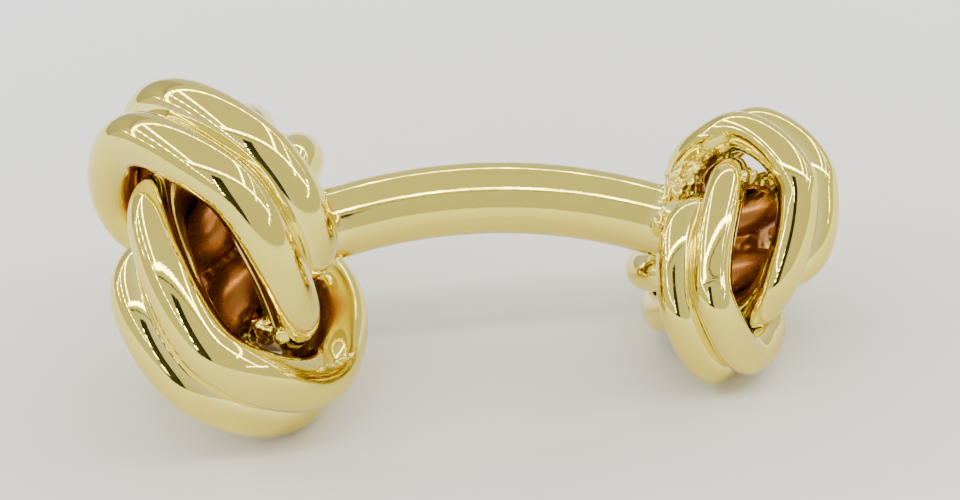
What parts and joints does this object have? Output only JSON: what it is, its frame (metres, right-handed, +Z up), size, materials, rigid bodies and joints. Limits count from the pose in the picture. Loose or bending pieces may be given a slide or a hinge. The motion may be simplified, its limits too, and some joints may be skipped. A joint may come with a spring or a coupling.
{
  "type": "knot cufflink",
  "caption": "Cufflink with a large and a small knot of doubled round gold wire, joined by a bowed round post.",
  "frame": {"origin": "on the floor, below the middle of the cufflink's box as it lies", "axes": "+Z up from the floor, +X from the large knot to the small knot, +Y to the back"},
  "size_m": [0.0264, 0.0134, 0.0125],
  "materials": {
    "gold_knots": "polished yellow gold",
    "gold_post": "polished yellow gold, fine drawing marks"
  },
  "bodies": {
    "root": {"large_knot": "gold_knots", "small_knot": "gold_knots", "post": "gold_post"}
  },
  "joints": []
}
